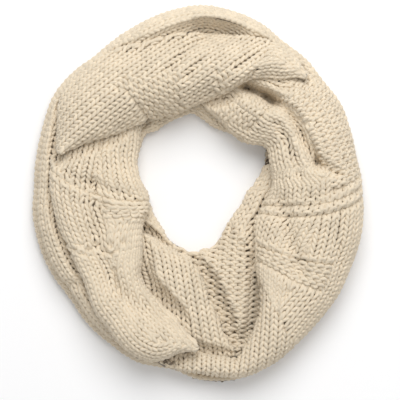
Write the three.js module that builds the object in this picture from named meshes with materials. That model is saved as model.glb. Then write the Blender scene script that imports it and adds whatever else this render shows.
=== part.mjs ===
// An infinity scarf in chunky cream knit, doubled into a ring and laid down flat.
//
// One long knitted loop goes round twice. Each stretch of it that shows is a wall of cloth of its
// own, arched over what lies beneath it, and the hidden layers are one rounded solid. All of them
// are written about the middle of the ring: an angle in degrees, counter-clockwise from +X, a
// radius and a height in millimetres. The scarf lies on z = 0, with +Z up and +Y to the back.
import * as THREE from "three";

// The middle of the ring, from the middle of the scarf's box.
const RING = { x: 3.9, y: 8.7 };
// Thickness of the chunky knit, the air left between two stretches, and the least wall left where
// one stretch presses on another.
const WALL = 5;
const AIR = 0.9;
const LEAST_WALL = 1.5;
// A narrow stretch has a thinner wall, at most this share of its width on each side.
const NARROW_WALL = 0.3;
// How far a section's points crowd towards its edges, from 0, evenly spaced, to 1.
const EDGE_CROWD = 0.6;
// How square an arched section is: 2 is a half ellipse, more has steeper sides.
const FULLNESS = 2.7;
// Where across a section the outer and inner roof heights are given, from 0, its middle, to 1.
const SHOULDER = 0.7;
// The flanks draw in over their lowest part, where the cloth rolls under and rests, and again in
// the crease between the two turns.
const TUCK = { height: 13, outer: 7, inner: 5 };
const CREASE = { height: 17, spread: 4, outer: 4, inner: 2 };
// Spacing of the sections round the ring, of those laid between them, and of the heights across.
const SECTION_STEP = 4;
const LAYING_STEP = 2;
// How many laying steps to either side a stretch also keeps what is below it down.
const PRESS_REACH = 2;
const ACROSS = { from: 28, to: 192, step: 0.5 };

// The ring from above: its outer edge and the edge of the neck opening.
const OUTLINE = table(["angle", "outer", "hole"], [
  [0, 147, 46], [10, 144, 53], [20, 145, 58], [30, 147, 66], [40, 146, 55], [50, 149, 50],
  [60, 150, 51], [70, 157, 50], [80, 161, 51], [90, 164, 57], [100, 162, 64], [110, 159, 63],
  [120, 156, 63], [130, 154, 63], [140, 158, 68], [150, 160, 65], [160, 157, 63], [170, 156, 59],
  [180, 156, 55], [190, 160, 50], [200, 162, 50], [210, 163, 52], [220, 163, 53], [230, 168, 55],
  [240, 172, 60], [250, 176, 61], [260, 174, 63], [270, 182, 59], [280, 184, 57], [290, 178, 48],
  [300, 170, 43], [310, 165, 40], [320, 159, 38], [330, 156, 39], [340, 152, 39], [350, 150, 40],
  [360, 147, 46],
]);

// A band's section: its edges from above, the height of the cloth's roof near its outer edge, in
// its middle and near its inner edge, and how high each edge's foot sits on what is below.
const BAND = ["angle", "outer", "inner", "outerFoot", "outerRoof", "midRoof", "innerRoof", "innerFoot"];

// The broad fold across the back. Its narrow ends lie on the two side bands.
const TOP_FLAP = table(BAND, [
  [40, 146, 136, 18, 45, 49, 49, 43], [46, 146, 129, 18, 46, 52, 52, 45],
  [54, 148, 120, 18, 45, 54, 55, 46], [60, 149, 113, 20, 44, 55, 55, 45],
  [65, 144, 105, 22, 45, 56, 55, 43], [70, 140, 94, 22, 46, 57, 55, 40],
  [76, 139, 83, 22, 46, 58, 54, 36], [82, 138, 78, 22, 46, 58, 52, 33],
  [90, 138, 74, 22, 46, 58, 50, 30], [100, 135, 69, 22, 46, 57, 49, 27],
  [110, 132, 67, 23, 47, 57, 48, 25], [118, 134, 68, 24, 48, 57, 48, 25],
  [124, 145, 71, 22, 48, 57, 48, 26], [130, 152, 75, 20, 47, 57, 48, 28],
  [138, 154, 79, 18, 46, 57, 48, 30], [144, 155, 84, 18, 45, 57, 48, 31],
  [150, 153, 90, 19, 46, 56, 49, 33], [155, 145, 98, 22, 46, 55, 50, 36],
  [160, 141, 109, 26, 47, 53, 50, 40], [165, 138, 121, 32, 48, 52, 51, 44],
  [168, 137, 128, 38, 48, 51, 50, 46],
]);

// The upper turn down the left, from under the top flap to the tip tucked over the front.
const LEFT_BAND = table(BAND, [
  [132, 136, 85, 20, 34, 34, 30, 20], [138, 137, 75, 20, 36, 35, 29, 16],
  [144, 138, 70, 20, 38, 36, 30, 15], [152, 139, 65, 22, 40, 38, 32, 15],
  [160, 140, 63, 23, 43, 40, 34, 16], [168, 141, 60, 24, 47, 42, 37, 17],
  [176, 141, 57, 24, 50, 45, 41, 18], [184, 140, 53, 24, 51, 47, 43, 18],
  [194, 139, 51, 24, 51, 47, 44, 18], [205, 138, 53, 24, 51, 47, 44, 18],
  [212, 139, 63, 24, 51, 47, 44, 22], [218, 141, 70, 24, 51, 47, 44, 26],
  [224, 147, 77, 24, 51, 47, 44, 28], [230, 155, 86, 24, 51, 48, 44, 28],
  [236, 159, 101, 24, 51, 48, 44, 29], [242, 166, 109, 23, 50, 48, 44, 30],
  [248, 171, 114, 22, 50, 48, 44, 32], [253, 172, 119, 22, 50, 48, 43, 33],
  [258, 166, 124, 24, 47, 46, 43, 34], [262, 158, 133, 28, 45, 44, 42, 34],
  [266, 155, 141, 32, 43, 42, 41, 34], [270, 155, 148, 36, 42, 41, 41, 36],
]);

// The upper turn up the right, from the front to the inner strand under the top flap.
const RIGHT_BAND = table(BAND, [
  [-104, 171, 151, 14, 26, 27, 26, 18], [-98, 176, 153, 14, 28, 29, 27, 19],
  [-90, 178, 157, 14, 30, 31, 29, 20], [-84, 181, 160, 14, 33, 34, 32, 21],
  [-79, 183, 163, 15, 36, 37, 35, 22], [-76, 183, 155, 15, 38, 39, 37, 23],
  [-72, 181, 144, 16, 41, 42, 40, 23], [-68, 179, 133, 16, 43, 45, 43, 23],
  [-64, 176, 118, 17, 45, 47, 45, 23], [-59, 172, 94, 17, 45, 48, 45, 22],
  [-54, 169, 81, 17, 45, 48, 44, 22], [-48, 166, 70, 17, 46, 48, 42, 22],
  [-40, 163, 61, 17, 47, 49, 41, 22], [-30, 158, 57, 17, 47, 50, 42, 22],
  [-20, 155, 58, 17, 47, 50, 43, 22], [-10, 151, 61, 17, 47, 51, 45, 24],
  [0, 147, 63, 17, 48, 52, 48, 26], [10, 144, 63, 17, 48, 52, 48, 27],
  [20, 144, 64, 17, 48, 53, 48, 27], [27, 144, 66, 17, 48, 53, 47, 27],
  [33, 145, 63, 17, 48, 53, 46, 27], [38, 145, 57, 17, 48, 53, 45, 26],
  [44, 142, 53, 17, 48, 53, 44, 24], [52, 140, 52, 17, 46, 51, 44, 24],
  [60, 139, 52, 17, 44, 48, 44, 24], [68, 134, 55, 18, 40, 44, 43, 24],
  [76, 131, 59, 18, 36, 40, 41, 24], [84, 130, 64, 18, 32, 36, 37, 24],
  [92, 129, 74, 18, 30, 32, 31, 22], [96, 128, 81, 18, 29, 30, 29, 20],
]);

// The fold that comes out from under the left band at the front.
const INNER_FOLD = table(BAND, [
  [216, 88, 74, 16, 24, 26, 26, 14], [222, 92, 69, 18, 25, 28, 28, 13],
  [228, 98, 67, 20, 27, 30, 31, 12], [236, 112, 66, 20, 29, 33, 34, 12],
  [244, 123, 66, 20, 30, 34, 34, 12], [252, 132, 67, 20, 31, 35, 34, 12],
  [260, 140, 68, 18, 30, 34, 33, 12], [266, 150, 77, 16, 28, 32, 31, 13],
  [271, 156, 90, 15, 26, 30, 29, 13], [275, 159, 112, 14, 24, 27, 26, 13],
  [278, 160, 132, 14, 22, 24, 23, 13], [280, 160, 147, 14, 20, 22, 21, 14],
]);

// The lower turn's inner face, front and right. Its inner edge is the neck opening's, on the floor.
const FACE = ["angle", "outer", "outerFoot", "outerRoof", "midRoof", "innerRoof"];
const INNER_PANEL = table(FACE, [
  [204, 70, 8, 14, 17, 17], [212, 81, 8, 16, 19, 18], [230, 99, 9, 20, 22, 20],
  [245, 121, 10, 22, 23, 20], [258, 140, 10, 22, 23, 21], [268, 155, 10, 20, 23, 22],
  [276, 162, 10, 20, 23, 22], [284, 160, 10, 21, 24, 23], [292, 147, 10, 22, 24, 23],
  [300, 120, 11, 23, 25, 23], [310, 94, 12, 23, 24, 22], [320, 81, 12, 22, 22, 20],
  [340, 79, 12, 21, 21, 20], [350, 81, 12, 21, 21, 20], [360, 85, 12, 21, 21, 20],
  [376, 85, 12, 20, 20, 19],
]);

// The same at the back and left, where it shows dark beneath the upper turn.
const UNDER_LOOP = table(FACE, [
  [16, 86, 12, 20, 20, 18], [60, 80, 12, 20, 20, 18], [100, 90, 12, 20, 20, 17],
  [150, 92, 12, 19, 19, 17], [204, 78, 12, 18, 18, 17],
]);

// The lower turn's outer flank: its roof's heights, from the outer edge in.
const OUTER_TURN = table(["angle", "outerRoof", "midRoof", "innerRoof"], [
  [0, 24, 24, 22], [40, 26, 26, 22], [56, 36, 28, 22], [66, 45, 28, 22], [78, 48, 26, 22],
  [100, 48, 27, 22], [112, 45, 29, 22], [124, 38, 30, 22], [136, 32, 28, 22], [150, 30, 28, 22],
  [200, 28, 27, 22], [250, 29, 27, 22], [262, 26, 24, 20], [280, 24, 22, 18], [330, 24, 23, 20],
  [360, 24, 24, 22],
]);
// The flank's width, how far it stands proud of the upper turn's outline, and how high its inner
// edge lies.
const FLANK = { width: 50, proud: 2, innerFoot: 10 };
// The hidden layers stay this far inside both edges of the ring, and fill up to what covers them.
const CORE = { inset: 12, roof: 60, air: 1.8 };

// The largest folds, as soft troughs: half their width, their depth, and the line that they follow.
const FOLDS = [
  { on: "top_flap", width: 6, depth: 4, line: [[90, 132], [97, 123], [104, 112], [106, 109]] },
  { on: "top_flap", width: 5, depth: 3, line: [[92, 112], [98, 99]] },
  { on: "top_flap", width: 6, depth: 4, line: [[68, 126], [71, 120], [74, 110]] },
  { on: "left_band", width: 10, depth: 8,
    line: [[182, 101], [195, 101], [205, 109], [215, 116], [222, 121], [232, 125], [240, 126],
      [250, 124], [258, 121]] },
  { on: "left_band", width: 5, depth: 3, line: [[173, 137], [179, 113], [184, 86], [195, 60]] },
  { on: "right_band", width: 9, depth: 19, line: [[45, 98], [52, 96], [60, 96], [69, 95]] },
  { on: "right_band", width: 6, depth: 4,
    line: [[46, 104], [35, 101], [27, 99], [20, 99], [15, 102], [8, 107], [3, 114]] },
  { on: "right_band", width: 7, depth: 6,
    line: [[-15, 74], [-22, 81], [-30, 90], [-35, 99], [-39, 110], [-42, 118]] },
  { on: "right_band", width: 5, depth: 3,
    line: [[-35, 152], [-30, 144], [-25, 137], [-20, 132], [-12, 131]] },
  { on: "right_band", width: 5, depth: 3, line: [[-9, 97], [-8, 106], [-6, 112], [-2, 127]] },
  { on: "outer_turn", width: 5, depth: 4, line: [[217, 164], [219, 146]] },
  { on: "outer_turn", width: 5, depth: 4, line: [[241, 174], [242, 158]] },
];

// Rows of bare numbers, as objects with a name for each column.
function table(columns, rows) {
  return rows.map((row) => Object.fromEntries(columns.map((name, i) => [name, row[i]])));
}

// A column's value at an angle, along a smooth curve through the rows that never overshoots them.
function columnAt(rows, column, angle) {
  const last = rows.length - 1;
  const a = Math.min(Math.max(angle, rows[0].angle), rows[last].angle);
  let i = 0;
  while (i < last - 1 && a > rows[i + 1].angle) i += 1;
  const slope = (j) =>
    (rows[j + 1][column] - rows[j][column]) / (rows[j + 1].angle - rows[j].angle);
  const tangent = (j) => {
    if (j === 0 || j === last) return 0;
    const [before, after] = [slope(j - 1), slope(j)];
    return before * after > 0 ? (2 * before * after) / (before + after) : 0;
  };
  const width = rows[i + 1].angle - rows[i].angle;
  const u = (a - rows[i].angle) / width;
  const ease = u * u * (3 - 2 * u);
  return (
    rows[i][column] * (1 - ease) +
    rows[i + 1][column] * ease +
    width * u * (1 - u) * ((1 - u) * tangent(i) - u * tangent(i + 1))
  );
}

// An angle turned by whole turns until it falls between a stretch's ends, or null where it can't.
function turnInto(angle, from, to) {
  for (const turn of [-360, 0, 360])
    if (angle + turn >= from && angle + turn <= to) return angle + turn;
  return null;
}

function outlineAt(angle) {
  const a = ((angle % 360) + 360) % 360;
  return { outer: columnAt(OUTLINE, "outer", a), hole: columnAt(OUTLINE, "hole", a) };
}

function bandSection(rows) {
  return (angle) => Object.fromEntries(BAND.slice(1).map((name) => [name, columnAt(rows, name, angle)]));
}

function faceSection(rows) {
  return (angle) => ({
    ...Object.fromEntries(FACE.slice(1).map((name) => [name, columnAt(rows, name, angle)])),
    inner: outlineAt(angle).hole,
    innerFoot: 0,
  });
}

function flankSection(angle) {
  const a = ((angle % 360) + 360) % 360;
  const outer = outlineAt(angle).outer + FLANK.proud;
  return {
    outer,
    inner: outer - FLANK.width,
    outerFoot: 0,
    outerRoof: columnAt(OUTER_TURN, "outerRoof", a),
    midRoof: columnAt(OUTER_TURN, "midRoof", a),
    innerRoof: columnAt(OUTER_TURN, "innerRoof", a),
    innerFoot: FLANK.innerFoot,
  };
}

function coreSection(angle) {
  const { outer, hole } = outlineAt(angle);
  return {
    outer: outer - CORE.inset,
    inner: hole + CORE.inset,
    outerFoot: 0,
    outerRoof: CORE.roof,
    midRoof: CORE.roof,
    innerRoof: CORE.roof,
    innerFoot: 0,
  };
}

// The stretches from the top of the pile down. top and under are how many steps their outer face
// and their inner face take across.
const CREAM = "#d0c1ac";
const STRETCHES = [
  { name: "top_flap", from: 40, to: 168, section: bandSection(TOP_FLAP), top: 18, under: 6 },
  { name: "left_band", from: 132, to: 268, section: bandSection(LEFT_BAND), top: 16, under: 6 },
  { name: "right_band", from: -104, to: 96, section: bandSection(RIGHT_BAND), top: 16, under: 6 },
  { name: "inner_fold", from: 216, to: 280, section: bandSection(INNER_FOLD), top: 10, under: 4 },
  { name: "inner_panel", from: 204, to: 376, section: faceSection(INNER_PANEL), top: 8, under: 4 },
  { name: "under_loop", from: 16, to: 204, section: faceSection(UNDER_LOOP), top: 8, under: 4 },
  { name: "outer_turn", from: 0, to: 360, section: flankSection, top: 12, under: 5, ring: true },
  { name: "hidden_turns", from: 0, to: 360, section: coreSection, top: 12, under: 2, ring: true,
    solid: true, air: CORE.air },
];
// The two stretches of the lower turn's inner face stop this far short of each other, in degrees.
const END_AIR = 0.4;

function clamp(v, low, high) {
  return Math.min(Math.max(v, low), high);
}

function planar(angle, r) {
  const a = THREE.MathUtils.degToRad(angle);
  return [r * Math.cos(a), r * Math.sin(a)];
}

// How far the folds lower a stretch's face at a point.
function foldDepth(name, angle, r) {
  const [x, y] = planar(angle, r);
  let depth = 0;
  for (const fold of FOLDS) {
    if (fold.on !== name) continue;
    const points = fold.line.map(([a, radius]) => planar(a, radius));
    let nearest = Infinity;
    for (let i = 0; i + 1 < points.length; i += 1) {
      const [[px, py], [qx, qy]] = [points[i], points[i + 1]];
      const along = ((x - px) * (qx - px) + (y - py) * (qy - py)) / ((qx - px) ** 2 + (qy - py) ** 2);
      const t = clamp(along, 0, 1);
      nearest = Math.min(nearest, Math.hypot(x - px - t * (qx - px), y - py - t * (qy - py)));
    }
    depth += fold.depth * Math.exp(-((nearest / fold.width) ** 2));
  }
  return depth;
}

function footAt(section, r) {
  const u = clamp((r - section.inner) / (section.outer - section.inner), 0, 1);
  return THREE.MathUtils.lerp(section.innerFoot, section.outerFoot, u);
}

// The height of a stretch's outer face: an arch between its feet, under its roof, with its folds.
function archAt(name, section, angle, r) {
  const x = clamp((2 * (r - section.inner)) / (section.outer - section.inner) - 1, -1, 1);
  const arch = (1 - Math.abs(x) ** FULLNESS) ** (1 / FULLNESS);
  const tilt = (section.outerRoof - section.innerRoof) / (2 * SHOULDER);
  const bend = ((section.outerRoof + section.innerRoof) / 2 - section.midRoof) / SHOULDER ** 2;
  const roof = section.midRoof + tilt * x + bend * x * x;
  const foot = footAt(section, r);
  return foot + Math.max(roof - foot, 0) * arch - foldDepth(name, angle, r) * arch;
}

const CELLS = Math.round((ACROSS.to - ACROSS.from) / ACROSS.step) + 1;
const cellRadius = (i) => ACROSS.from + i * ACROSS.step;
const cellAbove = (r) => Math.ceil((r - ACROSS.from) / ACROSS.step);

// Heights kept across the ring along a line of [radius, height] points that run from the outside in.
function keepLine(points) {
  const heights = new Float64Array(CELLS).fill(Infinity);
  for (let k = 0; k + 1 < points.length; k += 1) {
    const [[r0, z0], [r1, z1]] = [points[k], points[k + 1]];
    for (let i = cellAbove(r1); cellRadius(i) <= r0; i += 1)
      heights[i] = THREE.MathUtils.lerp(z0, z1, (r0 - cellRadius(i)) / Math.max(r0 - r1, 1e-9));
  }
  return heights;
}

// Lowers the higher end of each stretch of a line until the line is nowhere above the limits.
function pressUnder(points, limits) {
  for (let k = 0; k + 1 < points.length; k += 1) {
    const [high, low] = points[k][1] > points[k + 1][1] ? [k, k + 1] : [k + 1, k];
    for (let i = cellAbove(points[k + 1][0]); cellRadius(i) <= points[k][0]; i += 1) {
      const t = (cellRadius(i) - points[low][0]) / (points[high][0] - points[low][0]);
      const room = Math.max(limits[i] - points[low][1], 0) / Math.max(t, 1e-3);
      points[high][1] = Math.min(points[high][1], points[low][1] + room);
    }
  }
}

// One section of a stretch at an angle: its outer face and its inner face, as [radius, height]
// points from the outer edge in, and the heights that what lies below must stay under.
function layAt(stretch, angle, ceiling) {
  const section = stretch.section(angle);
  const { outer, inner } = section;
  const air = stretch.air ?? AIR;
  const limits = ceiling.map((height) => height - air);
  const limitAt = (r) => Math.min(limits[cellAbove(r)], limits[cellAbove(r) - 1]);
  const outerPoints = [];
  for (let k = 0; k <= stretch.top; k += 1) {
    const evenly = 1 - (2 * k) / stretch.top;
    const x = THREE.MathUtils.lerp(evenly, Math.cos((Math.PI * k) / stretch.top), EDGE_CROWD);
    const r = (outer + inner) / 2 + (x * (outer - inner)) / 2;
    const edge = k === 0 || k === stretch.top;
    const free = edge ? footAt(section, r) : archAt(stretch.name, section, angle, r);
    outerPoints.push([r, Math.max(Math.min(free, limitAt(r)), edge ? 0 : LEAST_WALL)]);
  }
  pressUnder(outerPoints, limits);
  pressUnder(outerPoints, limits);
  const face = keepLine(outerPoints);
  const reach = Math.floor(WALL / ACROSS.step);
  const underAt = (r) => {
    const middle = cellAbove(r);
    let ball = Infinity;
    for (let i = middle - reach; i <= middle + reach; i += 1) {
      const offset = Math.min(Math.abs(cellRadius(i) - r), WALL);
      ball = Math.min(ball, face[i] - Math.sqrt(WALL ** 2 - offset ** 2));
    }
    return Math.max(Math.min(Math.max(ball, footAt(section, r)), face[middle] - LEAST_WALL), 0);
  };
  const wall = Math.min(WALL, NARROW_WALL * (outer - inner));
  const [outerFoot, innerFoot] = [outerPoints[0][1], outerPoints[stretch.top][1]];
  const innerPoints = [];
  for (let k = 0; k <= stretch.under; k += 1) {
    const r = THREE.MathUtils.lerp(outer - wall, inner + wall, k / stretch.under);
    const feet = { 0: outerFoot, [stretch.under]: innerFoot };
    innerPoints.push([r, stretch.solid ? 0 : (feet[k] ?? underAt(r))]);
  }
  const under = keepLine([[outer + AIR, outerFoot], ...innerPoints, [inner - AIR, innerFoot]]);
  return { outerPoints, innerPoints, under };
}

// Draws the flanks in near the floor and between the turns, and sets the point in the part's frame.
function place(angle, [r, z]) {
  const { outer, hole } = outlineAt(angle);
  const middle = (outer + hole) / 2;
  const low = clamp(1 - z / TUCK.height, 0, 1) ** 2;
  const between = Math.exp(-(((z - CREASE.height) / CREASE.spread) ** 2));
  const side = r > middle ? (r - middle) / (outer - middle) : (r - middle) / (middle - hole);
  const edge = side > 0 ? "outer" : "inner";
  const drawn = r - side * Math.abs(side) ** 3 * (low * TUCK[edge] + between * CREASE[edge]);
  const [x, y] = planar(angle, drawn);
  return [RING.x + x, RING.y + y, z];
}

// The flat end of a wall, as triangles between its outer face and its inner face. The first split
// points of the loop are the outer face from the outer edge in, and the rest come back under it.
function zip(loop, split) {
  const triangles = [];
  let a = 0;
  let b = loop.length - 1;
  while (a < split - 1 || b > split) {
    const stepOuter = b === split || (a < split - 1 && loop[a + 1][0] >= loop[b - 1][0]);
    triangles.push(stepOuter ? [a, a + 1, b] : [a, b - 1, b]);
    if (stepOuter) a += 1;
    else b -= 1;
  }
  return triangles;
}

// A closed skin over a run of sections, each the same closed loop of points.
function skin(angles, loops, split, ring) {
  const positions = [];
  const faces = [];
  const count = loops[0].length;
  loops.forEach((loop, i) => loop.forEach((point) => positions.push(...place(angles[i], point))));
  const runs = ring ? loops.length : loops.length - 1;
  for (let i = 0; i < runs; i += 1) {
    const next = (i + 1) % loops.length;
    for (let j = 0; j < count; j += 1) {
      const k = (j + 1) % count;
      const [a, b, c, d] = [i * count + j, next * count + j, next * count + k, i * count + k];
      faces.push(a, b, c, a, c, d);
    }
  }
  if (!ring) {
    const end = (loops.length - 1) * count;
    for (const [a, b, c] of zip(loops[0], split)) faces.push(a, b, c);
    for (const [a, b, c] of zip(loops[loops.length - 1], split)) faces.push(end + a, end + c, end + b);
  }
  const geometry = new THREE.BufferGeometry();
  geometry.setAttribute("position", new THREE.Float32BufferAttribute(positions, 3));
  geometry.setIndex(faces);
  geometry.computeVertexNormals();
  return geometry;
}

// Lays every stretch round the ring, from the top of the pile down. What lies below a section also
// stays under the sections on either side of it, so it keeps clear between them too.
function layScarf() {
  const laid = new Map();
  const stations = 360 / LAYING_STEP;
  const ceilings = Array.from({ length: stations }, () => new Float64Array(CELLS).fill(Infinity));
  for (const stretch of STRETCHES) {
    const sections = ceilings.map((ceiling, i) => {
      const angle = turnInto(i * LAYING_STEP, stretch.from, stretch.to - (stretch.ring ? 1 : 0));
      return angle === null ? null : { angle, ...layAt(stretch, angle, ceiling) };
    });
    ceilings.forEach((ceiling, i) => {
      for (let beside = -PRESS_REACH; beside <= PRESS_REACH; beside += 1) {
        const section = sections[(i + beside + stations) % stations];
        if (!section) continue;
        for (let j = 0; j < CELLS; j += 1) ceiling[j] = Math.min(ceiling[j], section.under[j]);
      }
    });
    const built = sections.filter((section) => section && section.angle % SECTION_STEP === 0);
    laid.set(stretch.name, built.sort((one, other) => one.angle - other.angle));
  }
  return laid;
}

const scarf = new THREE.Group();
scarf.name = "infinity_scarf";
const laid = layScarf();
for (const stretch of STRETCHES) {
  const sections = laid.get(stretch.name);
  const angles = sections.map((section) => section.angle);
  if (!stretch.ring) {
    angles[0] += END_AIR;
    angles[angles.length - 1] -= END_AIR;
  }
  const loops = sections.map(({ outerPoints, innerPoints }) => [
    ...outerPoints,
    ...innerPoints.slice().reverse(),
  ]);
  const knit = new THREE.MeshStandardMaterial({ color: CREAM, roughness: 0.9, metalness: 0 });
  knit.name = "chunky_knit";
  const mesh = new THREE.Mesh(skin(angles, loops, stretch.top + 1, Boolean(stretch.ring)), knit);
  mesh.name = stretch.name;
  scarf.add(mesh);
}

export default scarf;
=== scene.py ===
import bpy
import numpy as np
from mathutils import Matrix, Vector


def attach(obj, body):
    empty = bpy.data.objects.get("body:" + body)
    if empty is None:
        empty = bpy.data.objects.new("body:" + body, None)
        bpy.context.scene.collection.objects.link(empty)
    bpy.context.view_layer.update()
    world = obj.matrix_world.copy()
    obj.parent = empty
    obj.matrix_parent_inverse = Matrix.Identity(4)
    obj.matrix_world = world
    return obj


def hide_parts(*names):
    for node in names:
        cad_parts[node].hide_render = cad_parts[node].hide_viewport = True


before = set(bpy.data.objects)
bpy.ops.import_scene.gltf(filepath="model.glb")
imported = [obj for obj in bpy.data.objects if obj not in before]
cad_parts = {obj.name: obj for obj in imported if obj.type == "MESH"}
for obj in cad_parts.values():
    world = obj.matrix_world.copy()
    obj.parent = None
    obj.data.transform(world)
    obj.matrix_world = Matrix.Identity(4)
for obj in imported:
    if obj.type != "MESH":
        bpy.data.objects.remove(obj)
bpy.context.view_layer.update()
MM = 0.001

# The camera looks straight down from far above, as in the photograph, on a floor 368 mm wide.
# It is aimed at the middle of the photograph, which is a little in front of the scarf's middle.
PHOTO_WIDTH = 368 * MM
PHOTO_MIDDLE = (1.1 * MM, -6.9 * MM)
FOCUS_HEIGHT = 25 * MM
LENS = 200
SENSOR = 36
camera = bpy.data.objects.new("camera", bpy.data.cameras.new("camera"))
camera.data.lens = LENS
camera.data.sensor_width = SENSOR
camera.location = (*PHOTO_MIDDLE, FOCUS_HEIGHT + PHOTO_WIDTH * LENS / SENSOR)
bpy.context.collection.objects.link(camera)
bpy.context.scene.camera = camera

# The floor is a plain white table top that the scarf lies on. It isn't part of the scarf.
FLOOR_SIZE = 8.0
FLOOR_COLOUR = (0.95, 0.95, 0.955, 1)
bpy.ops.mesh.primitive_plane_add(size=FLOOR_SIZE, location=(0, 0, 0))
floor = bpy.context.object
floor.name = "floor"
floor_paint = bpy.data.materials.new("floor_paint")
floor_paint.use_nodes = True
floor_shader = floor_paint.node_tree.nodes["Principled BSDF"]
floor_shader.inputs["Base Color"].default_value = FLOOR_COLOUR
floor_shader.inputs["Roughness"].default_value = 0.8
floor.data.materials.append(floor_paint)

# The light is a wide soft box high behind the scarf, a weak one in front and a bright room, so the
# shadows are soft and fall to the front and the sides. Colours are shown as they are.
SOFT_BOXES = [
    # name, place, size, watts
    ("back_box", (0.12, 1.2, 1.7), 1.7, 36),
    ("front_box", (0.7, -1.2, 1.5), 1.6, 4),
]
for name, place, size, watts in SOFT_BOXES:
    lamp = bpy.data.lights.new(name, "AREA")
    lamp.shape = "DISK"
    lamp.size = size
    lamp.energy = watts
    soft_box = bpy.data.objects.new(name, lamp)
    soft_box.location = place
    soft_box.rotation_mode = "QUATERNION"
    soft_box.rotation_quaternion = (-Vector(place)).to_track_quat("-Z", "Y")
    bpy.context.collection.objects.link(soft_box)
ROOM_STRENGTH = 0.46
world = bpy.data.worlds.new("room")
world.use_nodes = True
world.node_tree.nodes["Background"].inputs["Color"].default_value = (1, 1, 1, 1)
world.node_tree.nodes["Background"].inputs["Strength"].default_value = ROOM_STRENGTH
bpy.context.scene.world = world
bpy.context.scene.view_settings.view_transform = "Standard"

# Top flap: the broad fold of the upper turn that crosses the back of the ring and lies over both
# side bands. It is the same strip of knit as all the rest, in chunky cream yarn, and nothing but
# its own weight holds it. As the first piece it also says how cloth is laid and how it is knitted.
#
# The middle of the ring, and its outer edge and neck opening by angle, in millimetres.
RING = (3.9, 8.7)
OUTLINE = [
    # angle, outer, hole
    (0, 147, 46), (10, 144, 53), (20, 145, 58), (30, 147, 66), (40, 146, 55), (50, 149, 50),
    (60, 150, 51), (70, 157, 50), (80, 161, 51), (90, 164, 57), (100, 162, 64), (110, 159, 63),
    (120, 156, 63), (130, 154, 63), (140, 158, 68), (150, 160, 65), (160, 157, 63), (170, 156, 59),
    (180, 156, 55), (190, 160, 50), (200, 162, 50), (210, 163, 52), (220, 163, 53), (230, 168, 55),
    (240, 172, 60), (250, 176, 61), (260, 174, 63), (270, 182, 59), (280, 184, 57), (290, 178, 48),
    (300, 170, 43), (310, 165, 40), (320, 159, 38), (330, 156, 39), (340, 152, 39), (350, 150, 40),
    (360, 147, 46),
]
# A band's section by angle: its edges, its roof's height near the outer edge, in the middle and
# near the inner edge, and how high each foot sits on what is below.
TOP_FLAP = [
    # angle, outer, inner, outer foot, outer roof, middle roof, inner roof, inner foot
    (46, 138, 131, 34, 45, 46, 46, 43), (50, 141, 124, 33, 45, 48, 47, 45),
    (54, 144, 116, 33, 46, 51, 48, 45), (60, 146, 110, 36, 46, 54, 51, 44),
    (65, 143, 104, 40, 47, 56, 54, 42), (70, 141, 94, 41, 48, 57, 55, 40),
    (76, 139, 83, 39, 48, 58, 54, 36), (82, 138, 78, 30, 47, 58, 52, 33),
    (87, 138, 75, 26, 46, 58, 50, 31), (93, 138, 72, 36, 47, 58, 50, 29),
    (102, 137, 69, 42, 49, 57, 49, 27), (110, 137, 67, 43, 49, 57, 48, 25),
    (118, 141, 68, 42, 49, 57, 48, 25), (124, 146, 71, 38, 48, 57, 48, 26),
    (130, 151, 75, 32, 47, 57, 48, 28),
    (138, 154, 79, 27, 46, 57, 48, 30), (144, 155, 84, 27, 45, 57, 48, 31),
    (150, 153, 90, 27, 46, 56, 49, 33), (155, 148, 98, 28, 45, 55, 50, 36),
    (160, 143, 109, 29, 45, 52, 50, 39), (165, 140, 121, 31, 45, 50, 49, 42),
    (168, 138, 128, 33, 45, 49, 48, 43),
]
# Soft troughs: half their width, their depth, and the angles and radii that they follow.
TOP_FLAP_FOLDS = [
    (6, 4, [(90, 132), (97, 123), (104, 112), (106, 109)]),
    (5, 3, [(92, 112), (98, 99)]),
    (6, 4, [(68, 126), (71, 120), (74, 110)]),
]
# Where the rows of stitches change their lean: an angle at the outer edge, and how many degrees
# further on the same row reaches the inner edge.
TOP_FLAP_ROWS = [(46, 0), (64, 0), (135, 0), (168, 0)]
# Zones of stitches that aren't plain knit: from and to, by angle and as a share of the width.
TOP_FLAP_ZONES = [
    ("purl", 104, 132, 0.4, 1.0),
    ("purl", 78, 84, 0.55, 0.95),
]
# Patches whose wales all run one way: from and to, and which way, in degrees.
TOP_FLAP_PATCHES = [(64, 168, 38)]
# The cloth is WALL thick, AIR below what lies on it, and pressed no thinner than LEAST_WALL.
# FULLNESS says how square its arch is. The roofs near its edges are read at SHOULDER of the way out.
WALL = 5
AIR = 0.9
LEAST_WALL = 1.5
FULLNESS = 2.7
SHOULDER = 0.7
# How far the flanks draw in at the floor, and in the crease between the two turns.
TUCK = {"height": 13, "outer": 7, "inner": 5}
CREASE = {"height": 17, "spread": 4, "outer": 4, "inner": 2}
# What is laid so far keeps all that comes later below a ceiling, by whole degree and by radius in
# steps of CELL. A face is worked out in ACROSS steps from edge to edge, closer near the edges.
CELL = 0.5
CELLS = np.arange(28.0, 192.0, CELL)
ACROSS = 72
EDGE_CROWD = 0.6
FREE_HEIGHT = 200
ceiling = np.full((360, len(CELLS)), np.inf)
# How gently lower cloth bends down to an edge that lies on it, and how far a face may lean back.
EASE = {"reach": 14, "curve": 9, "degrees": 5}
BACK_LEAN = 0.35


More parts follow.
